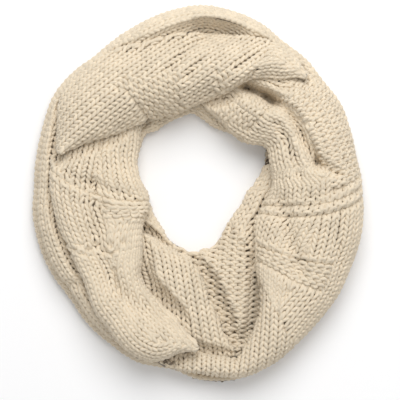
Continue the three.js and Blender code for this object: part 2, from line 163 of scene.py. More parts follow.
def column(rows, number, angles):
    """A column's value at each angle, on a smooth curve through the rows that doesn't overshoot."""
    rows = np.array(rows, float)
    a, v = rows[:, 0], rows[:, number]
    slope = np.diff(v) / np.diff(a)
    before, after = slope[:-1], slope[1:]
    turning = before * after > 0
    total = np.where(turning, before + after, 1)
    tangent = np.zeros(len(v))
    tangent[1:-1] = np.where(turning, 2 * before * after / total, 0)
    at = np.clip(angles, a[0], a[-1])
    i = np.clip(np.searchsorted(a, at, side="right") - 1, 0, len(a) - 2)
    width = a[i + 1] - a[i]
    u = (at - a[i]) / width
    ease = u * u * (3 - 2 * u)
    bow = width * u * (1 - u) * ((1 - u) * tangent[i] - u * tangent[i + 1])
    return v[i] * (1 - ease) + v[i + 1] * ease + bow


def band_section(rows):
    """Reads a band's rows into its section at given angles, one row of the section for each angle."""

    def section(angles):
        names = ["outer", "inner", "outer_foot", "outer_roof", "mid_roof", "inner_roof", "inner_foot"]
        return {name: column(rows, n + 1, angles)[:, None] for n, name in enumerate(names)}

    return section


def fold_depth(angles, radii, folds):
    """How far the folds lower the cloth at each point."""
    x, y = radii * np.cos(np.radians(angles)), radii * np.sin(np.radians(angles))
    depth = np.zeros_like(x)
    for width, fold_drop, line in folds:
        points = [(r * np.cos(np.radians(a)), r * np.sin(np.radians(a))) for a, r in line]
        nearest = np.full_like(x, np.inf)
        for (px, py), (qx, qy) in zip(points, points[1:]):
            along = (x - px) * (qx - px) + (y - py) * (qy - py)
            t = np.clip(along / ((qx - px) ** 2 + (qy - py) ** 2), 0, 1)
            nearest = np.minimum(nearest, np.hypot(x - px - t * (qx - px), y - py - t * (qy - py)))
        depth += fold_drop * np.exp(-((nearest / width) ** 2))
    return depth


def foot_height(part, radii):
    """The height of a straight line from foot to foot."""
    u = np.clip((radii - part["inner"]) / (part["outer"] - part["inner"]), 0, 1)
    return part["inner_foot"] + (part["outer_foot"] - part["inner_foot"]) * u


def arch_height(part, folds, angles, radii):
    """A stretch's height where nothing presses on it: an arch on its feet, with its folds."""
    x = np.clip(2 * (radii - part["inner"]) / (part["outer"] - part["inner"]) - 1, -1, 1)
    arch = (1 - np.abs(x) ** FULLNESS) ** (1 / FULLNESS)
    tilt = (part["outer_roof"] - part["inner_roof"]) / (2 * SHOULDER)
    bend = ((part["outer_roof"] + part["inner_roof"]) / 2 - part["mid_roof"]) / SHOULDER**2
    foot = foot_height(part, radii)
    roof = part["mid_roof"] + tilt * x + bend * x * x
    return foot + np.maximum(roof - foot, 0) * arch - fold_depth(angles, radii, folds) * arch


def into_space(angles, radii, heights):
    """Points in the scarf's frame, with the flanks drawn in near the floor and between the turns."""
    outer, hole = column(OUTLINE, 1, angles % 360), column(OUTLINE, 2, angles % 360)
    middle = (outer + hole) / 2
    side = (radii - middle) / np.where(radii > middle, outer - middle, middle - hole)
    low = np.clip(1 - heights / TUCK["height"], 0, 1) ** 2
    between = np.exp(-(((heights - CREASE["height"]) / CREASE["spread"]) ** 2))
    drawn_outer = low * TUCK["outer"] + between * CREASE["outer"]
    drawn_inner = low * TUCK["inner"] + between * CREASE["inner"]
    r = radii - side * np.abs(side) ** 3 * np.where(side > 0, drawn_outer, drawn_inner)
    a = np.radians(angles)
    return np.stack([RING[0] + r * np.cos(a), RING[1] + r * np.sin(a), heights + 0 * r], axis=-1)


def eased(limit):
    """The ceiling as cloth meets it: it bends down gently, from all sides, to what lies on it."""
    along = limit.copy()
    for step in range(1, int(EASE["reach"] / CELL)):
        rise = (step * CELL) ** 2 / EASE["curve"]
        along[:, step:] = np.minimum(along[:, step:], limit[:, :-step] + rise)
        along[:, :-step] = np.minimum(along[:, :-step], limit[:, step:] + rise)
    soft = along.copy()
    for degrees in range(1, EASE["degrees"] + 1):
        rise = (np.radians(degrees) * CELLS) ** 2 / EASE["curve"]
        for way in (-degrees, degrees):
            soft = np.minimum(soft, np.roll(along, way, axis=0) + rise)
    return soft


def lay_cloth(start, end, section, folds=()):
    """Lays a stretch between two angles under what is there already, and lowers the ceiling.

    Gives its outer face: points, normals, radii and distances across from the outer edge, each by
    degree and from the outer edge in, and where earlier stretches lie over it.
    """
    stations = np.arange(start, end + 0.5, 1.0)
    slots = stations.astype(int) % 360
    part = section(stations)
    angles = stations[:, None]
    roofed = np.isfinite(ceiling[slots])
    limit = eased(ceiling)[slots] - AIR
    side = np.linspace(1, -1, ACROSS + 1)
    x = side + (np.cos(np.linspace(0, np.pi, ACROSS + 1)) - side) * EDGE_CROWD
    radii = (part["outer"] + part["inner"]) / 2 + x * (part["outer"] - part["inner"]) / 2
    heights = arch_height(part, folds, angles, radii)
    for row, room in enumerate(np.minimum(limit, FREE_HEIGHT)):
        heights[row] = np.minimum(heights[row], np.interp(radii[row], CELLS, room))
    heights = np.maximum(heights, LEAST_WALL)
    inside = (CELLS >= part["inner"] - AIR) & (CELLS <= part["outer"] + AIR)
    face = np.maximum(np.minimum(arch_height(part, folds, angles, CELLS[None, :]), limit), LEAST_WALL)
    under = underside(part, np.where(inside, face, np.inf), inside)
    for beside in (-2, -1, 0, 1, 2):
        np.minimum.at(ceiling, (slots + beside) % 360, under)
    points = into_space(angles + 0 * radii, radii, heights)
    along, across = np.gradient(points, axis=0), np.gradient(points, axis=1)
    normals = np.cross(along, across)
    normals /= np.maximum(np.linalg.norm(normals, axis=2, keepdims=True), 1e-9)
    normals = upright(normals, np.radians(angles + 0 * radii), side)
    steps = np.linalg.norm(np.diff(points, axis=1), axis=2)
    distance = np.concatenate([np.zeros((len(steps), 1)), np.cumsum(steps, axis=1)], axis=1)
    cloth = even_cloth(start, distance, np.concatenate([points, normals, radii[..., None]], axis=2))
    return {**cloth, "roofed": roofed}


def underside(part, face, inside):
    """The height of a stretch's lower side in each cell: a wall's thickness under its face."""
    under = np.full_like(face, np.inf)
    for step in range(-int(WALL / CELL), int(WALL / CELL) + 1):
        drop = np.sqrt(WALL**2 - (step * CELL) ** 2)
        under = np.minimum(under, np.roll(face, step, axis=1) - drop)
    foot = foot_height(part, CELLS[None, :])
    rim = (CELLS < part["inner"] + WALL) | (CELLS > part["outer"] - WALL)
    under = np.where(rim, foot, np.maximum(under, foot))
    return np.where(inside, np.maximum(np.minimum(under, face - LEAST_WALL), 0), np.inf)


def upright(normals, angles, side):
    """Normals that don't face back over the stretch where its edge is thinner than the cloth."""
    outward = np.stack([np.cos(angles), np.sin(angles), 0 * angles], axis=-1)
    lean = np.sum(normals * outward, axis=2)
    least = np.where(side >= 0, np.maximum(lean, -BACK_LEAN), np.minimum(lean, BACK_LEAN))
    turned = normals + outward * (least - lean)[..., None]
    level = np.clip(1 - turned[..., 0] ** 2 - turned[..., 1] ** 2, 0, 1)
    turned[..., 2] = np.where(least == lean, turned[..., 2], np.sqrt(level))
    return turned


def even_cloth(start, distance, fields):
    """Spreads a stretch's fields to one point for each millimetre across it."""
    widths = distance[:, -1]
    even = np.arange(0, widths.max() + 2)
    spread = np.stack([
        np.stack([np.interp(even, d, f[:, n]) for n in range(f.shape[1])], axis=1)
        for d, f in zip(distance, fields)
    ])
    return {"start": start, "widths": widths, "fields": spread}


def read_cloth(cloth, angles, across):
    """The stretch's fields at angles and at millimetres across from its outer edge."""
    fields = cloth["fields"]
    row = np.clip(angles - cloth["start"], 0, len(fields) - 1.001)
    col = np.clip(across, 0, fields.shape[1] - 1.001)
    i, j = row.astype(int), col.astype(int)
    u, v = (row - i)[..., None], (col - j)[..., None]
    near = fields[i, j] * (1 - v) + fields[i, j + 1] * v
    far = fields[i + 1, j] * (1 - v) + fields[i + 1, j + 1] * v
    return near * (1 - u) + far * u


def width_at(cloth, angles):
    """The stretch's width from edge to edge over its face, in millimetres."""
    return np.interp(angles, cloth["start"] + np.arange(len(cloth["widths"])), cloth["widths"])


# One stitch of the chunky yarn: a loop WALE wide and COURSE high. Its legs stand in front on the
# knit side, and its head and feet on the purl side.
WALE = 8.6
COURSE = 5.3
# A loop's way: sideways in wales, up in courses, in and out in millimetres, and how much each
# differs from the next in a hand knit.
LOOP = {"swing": 0.24, "spread": 0.02, "rise": 0.84, "lift": 1.5, "tip": 0.5}
UNEVEN = {"across": 0.22, "along": 0.22, "out": 0.2, "rise": 0.05, "radius": 0.03}
# The yarn's middle runs DEPTH below the face, and SUNK deeper where two runs of wales overlap.
DEPTH = 2.8
SUNK = 1.8
YARN_RADIUS = 1.85
YARN_SIDES = 6
YARN_FLOOR = 0.25
LOOP_STEPS = 12
ALONG_LOOP = np.arange(-1, LOOP_STEPS + 2) / LOOP_STEPS - 0.5
# Wales are worked in blocks of this many. Loops further than HIDDEN_BY under cloth are left out.
BLOCK = 4
HIDDEN_BY = 12
LEAST_RADIUS = 30
PATCH_REACH = 200


def stitch_signs(zones, angle, share, course, wale):
    """1 where a stitch is knit and -1 where it is purl, by the zones that it lies in."""
    sign = np.ones(angle.shape)
    for kind, start, end, near, far in zones:
        within = (angle >= start) & (angle < end) & (share >= near) & (share < far)
        turned = {
            "purl": np.ones_like(within),
            "garter": course % 2 == 0,
            "seed": (course + wale) % 2 == 0,
        }[kind]
        sign = np.where(within, np.where(turned, -1, 1), sign)
    return sign


def share_across(lane, from_edge, width):
    """A place's share of the width from the outer edge, for millimetres from the lane's own edge."""
    return from_edge / width if lane == "outer" else 1 - from_edge / width


def stitches(there, course, wale, sign, first):
    """The stitches of a grid that are there, with their neighbours' signs and the loops they meet."""
    around = np.pad(sign, ((0, 0), (1, 1)), mode="edge")
    ids = np.where(there, first + np.cumsum(there.ravel()).reshape(there.shape) - 1, -1)
    follow = np.concatenate([ids[:, 1:], np.full((len(ids), 1), -1)], axis=1)
    return {
        "course": course[there], "wale": wale[there], "sign": sign[there],
        "left": around[:, :-2][there], "right": around[:, 2:][there], "follow": follow[there],
    }


def work_lane(cloth, lane, rows, zones, split, patches):
    """The stitches of one lane, in blocks of wales that follow the lane's own edge.

    The outer lane takes the split's share of the width, and the inner lane the rest. Gives the
    blocks, and how many stitches they hold in all.
    """
    worked = []
    count = 0
    stations = np.array([angle for angle, _ in rows], float)
    leans = np.array([lean for _, lean in rows], float)
    lane_share = split if lane == "outer" else 1 - split
    widest = cloth["widths"].max() * lane_share
    for block in range(int(np.ceil(widest / (WALE * BLOCK)))):
        wales = np.arange(block * BLOCK, (block + 1) * BLOCK)
        middle = (block + 0.5) * BLOCK * WALE
        fine = np.arange(stations[0], stations[-1] + 0.25, 0.5)
        width = width_at(cloth, fine)
        line = np.minimum(middle, width * 0.5)
        share_line = share_across(lane, line, width)
        lean_line = np.interp(fine, stations, leans)
        path = read_cloth(cloth, fine + lean_line * share_line, share_line * width)[..., :3]
        length = np.concatenate([[0], np.cumsum(np.linalg.norm(np.diff(path, axis=0), axis=1))])
        for first, last in zip(stations, stations[1:]):
            if any(start <= first and last <= end for start, end, _ in patches):
                continue
            low, high = np.interp([first, last], fine, length)
            courses = max(int(round((high - low) / COURSE)), 1)
            pitch = (high - low) / courses
            course, wale = np.meshgrid(np.arange(courses), wales, indexing="ij")
            centre_angle = np.interp(low + (course + 0.5) * pitch, length, fine)
            centre_width = width_at(cloth, centre_angle)
            from_edge = (wale + 0.5) * WALE
            limit = centre_width * lane_share
            share = share_across(lane, from_edge, centre_width)
            at = centre_angle + np.interp(centre_angle, stations, leans) * share
            sign = stitch_signs(zones, centre_angle, share, course, wale)
            field = read_cloth(cloth, at, share * width_at(cloth, at))
            there = (from_edge < limit + WALE / 2) & (at >= cloth["start"])
            there &= at <= cloth["start"] + len(cloth["widths"]) - 1
            there &= ~hidden(cloth, at, field[..., 6])
            worked.append({
                **stitches(there, course, wale, sign, count),
                "turn": None, "low": low, "pitch": pitch, "fine": fine, "length": length,
                "sunk": (from_edge > limit)[there], "stations": stations, "leans": leans,
            })
            count += int(there.sum())
    return worked, count


def across_patch(cloth, x, y):
    """Angles, and shares across, of points in a plane that the stretch is unrolled on, both ways."""
    middle = cloth["start"] + len(cloth["widths"]) / 2
    angle = middle + (np.degrees(np.arctan2(y, x)) - middle + 180) % 360 - 180
    width = width_at(cloth, angle)
    radius = read_cloth(cloth, angle, width / 2)[..., 6]
    return angle, 0.5 + (radius - np.hypot(x, y)) / width


def work_patch(cloth, first, last, turn, zones):
    """The stitches of a patch whose wales all run one way, whatever way the stretch turns."""
    count = int(PATCH_REACH / COURSE)
    course, wale = np.meshgrid(np.arange(-count, count), np.arange(-count, count), indexing="ij")
    along, beside = (course + 0.5) * COURSE, (wale + 0.5) * WALE
    cos, sin = np.cos(np.radians(turn)), np.sin(np.radians(turn))
    angle, share = across_patch(cloth, along * cos - beside * sin, along * sin + beside * cos)
    width = width_at(cloth, angle)
    sign = stitch_signs(zones, angle, share, course, wale)
    there = (angle >= first) & (angle < last) & (np.abs(share - 0.5) * width < width / 2 + COURSE / 2)
    share = np.clip(share, 0, 1)
    there &= ~hidden(cloth, angle, read_cloth(cloth, angle, share * width)[..., 6])
    block = {
        **stitches(there, course, wale, sign, 0),
        "turn": (cos, sin), "low": 0, "pitch": COURSE, "sunk": np.zeros(int(there.sum())),
    }
    return [block], int(there.sum())


def hidden(cloth, angles, radii):
    """Whether a point lies well under an earlier stretch, all round by HIDDEN_BY millimetres."""
    deep = np.ones(np.shape(angles), bool)
    for turn in np.arange(0, 360, 45):
        reach_r = HIDDEN_BY * np.cos(np.radians(turn))
        reach_a = np.degrees(HIDDEN_BY * np.sin(np.radians(turn)) / np.maximum(radii, LEAST_RADIUS))
        row = np.clip(np.round(angles + reach_a - cloth["start"]), 0, len(cloth["fields"]) - 1)
        cell = np.clip(np.round((radii + reach_r - CELLS[0]) / CELL), 0, len(CELLS) - 1)
        deep &= cloth["roofed"][row.astype(int), cell.astype(int)]
    return deep


def loop_points(cloth, lane, work, random):
    """The middle line of the yarn through each stitch of a block, with what the tube needs."""
    tau = ALONG_LOOP[None, :]
    n = len(work["course"])
    course, wale = work["course"][:, None], work["wale"][:, None]
    window = np.cos(np.pi * np.clip(tau, -0.5, 0.5)) ** 2
    nudge = random.normal(0, 1, (4, n, 1)) * window
    swing = LOOP["swing"] * np.sin(4 * np.pi * tau) + LOOP["spread"] * np.sin(2 * np.pi * tau)
    from_edge = (wale + 0.5 + tau + swing) * WALE + UNEVEN["across"] * nudge[0]
    rise = LOOP["rise"] * (1 + UNEVEN["rise"] * nudge[1]) * np.cos(2 * np.pi * tau)
    along = work["low"] + (course + 0.5 + rise) * work["pitch"] + UNEVEN["along"] * nudge[2]
    if work["turn"]:
        cos, sin = work["turn"]
        at, share = across_patch(cloth, along * cos - from_edge * sin, along * sin + from_edge * cos)
        share = np.clip(share, 0, 1)
    else:
        angle = np.interp(along, work["length"], work["fine"])
        width = width_at(cloth, angle)
        share = share_across(lane, from_edge, width)
        at = angle + np.interp(angle, work["stations"], work["leans"]) * share
    blend = np.clip((np.abs(tau) - 0.2) / 0.3, 0, 1)
    blend = blend * blend * (3 - 2 * blend) / 2
    beside = np.where(tau < 0, work["left"][:, None], work["right"][:, None])
    sign = work["sign"][:, None] * (1 - blend) + beside * blend
    bow = LOOP["lift"] * np.cos(4 * np.pi * tau) + LOOP["tip"] * np.cos(2 * np.pi * tau)
    lift = UNEVEN["out"] * nudge[3] - sign * bow - SUNK * work["sunk"][:, None]
    field = read_cloth(cloth, at, share * width_at(cloth, at))
    point = field[..., :3] + field[..., 3:6] * (lift - DEPTH)[..., None]
    return point, field[..., 3:6], lift


def knit_yarn(name, cloth, rows, zones, seed, split, patches):
    """The yarn of a stretch, every loop of it, as one mesh."""
    random = np.random.default_rng(seed)
    rings, fronts, heights, follows, tones = [], [], [], [], []
    offset = 0
    lanes = [(lane, work_lane(cloth, lane, rows, zones, split, patches)) for lane in ("outer", "inner")]
    lanes += [("patch", work_patch(cloth, *patch, zones)) for patch in patches]
    for lane, (worked, count) in lanes:
        for work in worked:
            if len(work["course"]) == 0:
                continue
            point, front, lift = loop_points(cloth, lane, work, random)
            rings.append(point)
            fronts.append(front)
            heights.append(lift)
            follows.append(np.where(work["follow"] >= 0, work["follow"] + offset, -1))
            tones.append(random.random(len(work["course"])))
        offset += count
    point, front = np.concatenate(rings), np.concatenate(fronts)
    return tube_mesh(name, point, front, np.concatenate(heights), np.concatenate(follows),
                     np.concatenate(tones), random)


def tube_mesh(name, point, front, lift, follow, tone, random):
    """Round yarn along the loops' middle lines, joined where one loop goes on to the next."""
    tangent = point[:, 2:] - point[:, :-2]
    tangent /= np.maximum(np.linalg.norm(tangent, axis=2, keepdims=True), 1e-9)
    point, front, lift = point[:, 1:-1], front[:, 1:-1], lift[:, 1:-1]
    side = np.cross(tangent, front)
    side /= np.maximum(np.linalg.norm(side, axis=2, keepdims=True), 1e-9)
    up = np.cross(side, tangent)
    loops, rings = point.shape[:2]
    turn = 2 * np.pi * np.arange(YARN_SIDES) / YARN_SIDES
    radius = YARN_RADIUS * (1 + UNEVEN["radius"] * random.normal(0, 1, (loops, 1, 1, 1)))
    spoke = np.cos(turn)[:, None] * side[:, :, None, :] + np.sin(turn)[:, None] * up[:, :, None, :]
    vertex = point[:, :, None, :] + radius * spoke
    vertex[..., 2] = np.maximum(vertex[..., 2], YARN_FLOOR)
    proud = lift[:, :, None] + YARN_RADIUS * np.sum(spoke * front[:, :, None, :], axis=3)
    number = np.arange(loops * rings * YARN_SIDES).reshape(loops, rings, YARN_SIDES)
    joined = follow >= 0
    number[joined, -1] = number[follow[joined], 0]
    started = np.ones(loops, bool)
    started[follow[joined]] = False
    here, there = number[:, :-1], number[:, 1:]
    quads = np.stack([here, np.roll(here, -1, 2), np.roll(there, -1, 2), there], axis=-1).reshape(-1, 4)
    caps = np.concatenate([number[started, 0][:, ::-1], number[~joined, -1]])
    used, renumbered = np.unique(np.concatenate([quads.ravel(), caps.ravel()]), return_inverse=True)
    mesh = bpy.data.meshes.new(name)
    mesh.vertices.add(len(used))
    mesh.vertices.foreach_set("co", (vertex.reshape(-1, 3)[used] * MM).ravel())
    mesh.loops.add(quads.size + caps.size)
    mesh.loops.foreach_set("vertex_index", renumbered.ravel())
    sizes = np.concatenate([np.full(len(quads), 4), np.full(len(caps), YARN_SIDES)])
    mesh.polygons.add(len(sizes))
    mesh.polygons.foreach_set("loop_start", np.concatenate([[0], np.cumsum(sizes)[:-1]]))
    mesh.polygons.foreach_set("use_smooth", np.ones(len(sizes), bool))
    tones = np.broadcast_to(tone[:, None, None], proud.shape).ravel()[used]
    mesh.attributes.new("tone", "FLOAT", "POINT").data.foreach_set("value", tones)
    mesh.attributes.new("proud", "FLOAT", "POINT").data.foreach_set("value", proud.ravel()[used])
    unroll_yarn(mesh, loops, rings, caps.size)
    mesh.validate()
    mesh.update()
    yarn = bpy.data.objects.new(name, mesh)
    bpy.context.collection.objects.link(yarn)
    return yarn


def unroll_yarn(mesh, loops, rings, cap_corners):
    """The yarn's UVs: along each loop, and round the yarn. The ends of the yarn have none."""
    ring, around = np.meshgrid(np.arange(rings - 1), np.arange(YARN_SIDES), indexing="ij")
    step = 1 / YARN_SIDES
    corner = np.stack(
        [
            np.stack([ring / LOOP_STEPS, around * step], axis=-1),
            np.stack([ring / LOOP_STEPS, (around + 1) * step], axis=-1),
            np.stack([(ring + 1) / LOOP_STEPS, (around + 1) * step], axis=-1),
            np.stack([(ring + 1) / LOOP_STEPS, around * step], axis=-1),
        ],
        axis=2,
    )
    every = np.broadcast_to(corner, (loops, *corner.shape)).reshape(-1, 2)
    every = np.concatenate([every, np.zeros((cap_corners, 2))])
    mesh.uv_layers.new(name="yarn").uv.foreach_set("vector", every.ravel())


# The backing is the body of the cloth behind the front of the loops, a thin shell. Its colour is painted
# shade, dark where it shows through the gaps between the loops.
BACKING = {"below": 3.9, "thickness": 1.4, "degrees": 2, "step": 3, "floor": 0.3}


def shell_object(name, point, faces):
    """A thin shell of cloth behind a grid of points in millimetres."""
    mesh = bpy.data.meshes.new(name)
    mesh.from_pydata((point.reshape(-1, 3) * MM).tolist(), [], faces.reshape(-1, 4).tolist())
    mesh.polygons.foreach_set("use_smooth", np.ones(len(mesh.polygons), bool))
    mesh.update()
    shell = bpy.data.objects.new(name, mesh)
    bpy.context.collection.objects.link(shell)
    thick = shell.modifiers.new("thickness", "SOLIDIFY")
    thick.thickness = BACKING["thickness"] * MM
    thick.offset = -1
    return shell


def cloth_shell(name, cloth):
    """The backing of a stretch, a little below its face."""
    stations = np.arange(0, len(cloth["widths"]), BACKING["degrees"])
    count = int(np.ceil(cloth["widths"].max() / BACKING["step"]))
    share = np.linspace(0, 1, count + 1)[None, :]
    angle = (cloth["start"] + stations)[:, None] + 0 * share
    field = read_cloth(cloth, angle, share * cloth["widths"][stations][:, None])
    point = field[..., :3] - field[..., 3:6] * BACKING["below"]
    point[..., 2] = np.maximum(point[..., 2], BACKING["floor"] + BACKING["thickness"])
    number = np.arange(point.shape[0] * point.shape[1]).reshape(point.shape[:2])
    faces = np.stack([number[:-1, :-1], number[1:, :-1], number[1:, 1:], number[:-1, 1:]], axis=-1)
    return shell_object(name, point, faces)


# Chunky cream yarn: a soft, dull wool blend of a few loose plies. Between the loops its colour is
# darkened by painted shade, and the backing behind the loops is painted in shade.
CREAM = (0.74, 0.636, 0.487, 1)
# Painted shade: the yarn's colour where it lies deep between the loops.
CREAM_SHADE = (0.25, 0.20, 0.145, 1)
# Painted shade: the backing's colour, the yarn as it looks in shade behind the loops.
CREAM_BACK_SHADE = (0.27, 0.215, 0.16, 1)
# The colour sockets of a Mix node, which share their names with its other sockets.
MIX_A, MIX_B, MIX_RESULT = 6, 7, 2


def yarn_tone_group():
    """A node group: the yarn's colour, from a loop's own tone and how far it stands out, with painted
    shade where the yarn lies deep.
    """
    group = bpy.data.node_groups.new("yarn_tone", "ShaderNodeTree")
    sockets = group.interface
    for title in ("Light", "Shaded"):
        sockets.new_socket(title, in_out="INPUT", socket_type="NodeSocketColor")
    sockets.new_socket("Variation", in_out="INPUT", socket_type="NodeSocketFloat")
    sockets.new_socket("Colour", in_out="OUTPUT", socket_type="NodeSocketColor")
    node, link = group.nodes, group.links
    source, result = node.new("NodeGroupInput"), node.new("NodeGroupOutput")
    tone, proud = node.new("ShaderNodeAttribute"), node.new("ShaderNodeAttribute")
    tone.attribute_name = "tone"
    proud.attribute_name = "proud"
    # Painted shade: the less a point of the yarn stands out, the more its colour turns to the shaded
    # one.
    open_to_light = node.new("ShaderNodeMapRange")
    open_to_light.interpolation_type = "SMOOTHSTEP"
    open_to_light.inputs["From Min"].default_value = -5.0
    open_to_light.inputs["From Max"].default_value = 0.6
    link.new(proud.outputs["Fac"], open_to_light.inputs["Value"])
    mix = node.new("ShaderNodeMix")
    mix.data_type = "RGBA"
    link.new(open_to_light.outputs["Result"], mix.inputs["Factor"])
    link.new(source.outputs["Shaded"], mix.inputs[MIX_A])
    link.new(source.outputs["Light"], mix.inputs[MIX_B])
    shade = node.new("ShaderNodeMapRange")
    shade.inputs["To Min"].default_value = -0.5
    shade.inputs["To Max"].default_value = 0.5
    link.new(tone.outputs["Fac"], shade.inputs["Value"])
    scaled = node.new("ShaderNodeMath")
    scaled.operation = "MULTIPLY_ADD"
    scaled.inputs[2].default_value = 1.0
    link.new(shade.outputs["Result"], scaled.inputs[0])
    link.new(source.outputs["Variation"], scaled.inputs[1])
    bright = node.new("ShaderNodeVectorMath")
    bright.operation = "SCALE"
    link.new(mix.outputs[MIX_RESULT], bright.inputs[0])
    link.new(scaled.outputs[0], bright.inputs["Scale"])
    link.new(bright.outputs[0], result.inputs["Colour"])
    return group


def yarn_ply_group():
    """A node group: bumps of the plies that wind round the yarn, and of its loose fibres."""
    group = bpy.data.node_groups.new("yarn_ply", "ShaderNodeTree")
    sockets = group.interface
    sockets.new_socket("Plies", in_out="INPUT", socket_type="NodeSocketFloat")
    sockets.new_socket("Winds", in_out="INPUT", socket_type="NodeSocketFloat")
    sockets.new_socket("Height", in_out="OUTPUT", socket_type="NodeSocketFloat")
    node, link = group.nodes, group.links
    source, result = node.new("NodeGroupInput"), node.new("NodeGroupOutput")
    where = node.new("ShaderNodeUVMap")
    where.uv_map = "yarn"
    parts = node.new("ShaderNodeSeparateXYZ")
    link.new(where.outputs["UV"], parts.inputs[0])

    def joined(operation, first, second):
        made = node.new("ShaderNodeMath")
        made.operation = operation
        for socket, value in zip(made.inputs, (first, second)):
            if isinstance(value, (int, float)):
                socket.default_value = value
            else:
                link.new(value, socket)
        return made.outputs[0]

    along = joined("MULTIPLY", parts.outputs["X"], source.outputs["Winds"])
    around = joined("MULTIPLY", parts.outputs["Y"], source.outputs["Plies"])
    turns = joined("MULTIPLY", joined("ADD", along, around), 2 * np.pi)
    plies = joined("ABSOLUTE", joined("SINE", joined("MULTIPLY", turns, 0.5), 0), 0)
    fibre = node.new("ShaderNodeTexNoise")
    fibre.inputs["Scale"].default_value = 900
    fibre.inputs["Detail"].default_value = 3
    place = node.new("ShaderNodeTexCoord")
    link.new(place.outputs["Object"], fibre.inputs["Vector"])
    loose = joined("MULTIPLY", fibre.outputs["Fac"], 0.6)
    link.new(joined("ADD", plies, loose), result.inputs["Height"])
    return group


yarn_tone, yarn_ply = yarn_tone_group(), yarn_ply_group()


def yarn_material(name, light, deep, variation=0.12):
    """Wool-like yarn: dull, soft and a little fuzzy, with painted shade between the loops."""
    material = bpy.data.materials.new(name)
    material.use_nodes = True
    node, link = material.node_tree.nodes, material.node_tree.links
    shader = node["Principled BSDF"]
    shader.inputs["Roughness"].default_value = 0.92
    shader.inputs["Specular IOR Level"].default_value = 0.25
    shader.inputs["Sheen Weight"].default_value = 0.25
    shader.inputs["Sheen Roughness"].default_value = 0.6
    shader.inputs["Sheen Tint"].default_value = (1.0, 0.95, 0.86, 1)
    tone = node.new("ShaderNodeGroup")
    tone.node_tree = yarn_tone
    tone.inputs["Light"].default_value = light
    # The deep colour is painted shade between the loops.
    tone.inputs["Shaded"].default_value = deep
    tone.inputs["Variation"].default_value = variation
    link.new(tone.outputs["Colour"], shader.inputs["Base Color"])
    ply = node.new("ShaderNodeGroup")
    ply.node_tree = yarn_ply
    ply.inputs["Plies"].default_value = 3
    ply.inputs["Winds"].default_value = 5
    bump = node.new("ShaderNodeBump")
    bump.inputs["Strength"].default_value = 0.5
    bump.inputs["Distance"].default_value = 0.4 * MM
    link.new(ply.outputs["Height"], bump.inputs["Height"])
    link.new(bump.outputs["Normal"], shader.inputs["Normal"])
    return material


def backing_material(name, colour):
    """The back of the loops: the same yarn in painted shade, darker still towards the edges of small
    loops as painted shade of their rise and fall, which also bump the surface.
    """
    material = bpy.data.materials.new(name)
    material.use_nodes = True
    node, link = material.node_tree.nodes, material.node_tree.links
    shader = node["Principled BSDF"]
    shader.inputs["Roughness"].default_value = 0.95
    shader.inputs["Specular IOR Level"].default_value = 0.2
    shader.inputs["Sheen Weight"].default_value = 0.15
    place = node.new("ShaderNodeTexCoord")
    loops = node.new("ShaderNodeTexVoronoi")
    loops.inputs["Scale"].default_value = 160
    link.new(place.outputs["Object"], loops.inputs["Vector"])
    # Painted shade: the colour darkens to six tenths towards the edges of the small loops.
    mix = node.new("ShaderNodeMix")
    mix.data_type = "RGBA"
    mix.inputs[MIX_A].default_value = colour
    mix.inputs[MIX_B].default_value = (*[0.6 * part for part in colour[:3]], 1)
    link.new(loops.outputs["Distance"], mix.inputs["Factor"])
    link.new(mix.outputs[MIX_RESULT], shader.inputs["Base Color"])
    bump = node.new("ShaderNodeBump")
    bump.inputs["Strength"].default_value = 0.6
    bump.inputs["Distance"].default_value = 1.0 * MM
    link.new(loops.outputs["Distance"], bump.inputs["Height"])
    link.new(bump.outputs["Normal"], shader.inputs["Normal"])
    return material


cream_yarn = yarn_material("cream_yarn", CREAM, CREAM_SHADE)
shaded_backing = backing_material("shaded_backing", CREAM_BACK_SHADE)


def make_stretch(name, start, end, section, folds, rows, zones, seed, split=0.5,
                 patches=()):
    """Lays a stretch, knits it over its backing in cream yarn, hides its part of the model, and hangs
    both pieces on the root.

    Split is how much of its width the outer lane of wales takes.
    """
    cloth = lay_cloth(start, end, section, folds)
    yarn = knit_yarn(name + "_yarn", cloth, rows, zones, seed, split, patches)
    yarn.data.materials.append(cream_yarn)
    backing = cloth_shell(name + "_cloth", cloth)
    backing.data.materials.append(shaded_backing)
    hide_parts(name)
    for piece in (backing, yarn):
        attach(piece, "root")


make_stretch(
    "top_flap", 46, 168, band_section(TOP_FLAP), TOP_FLAP_FOLDS, TOP_FLAP_ROWS, TOP_FLAP_ZONES,
    seed=11,
    patches=TOP_FLAP_PATCHES,
)

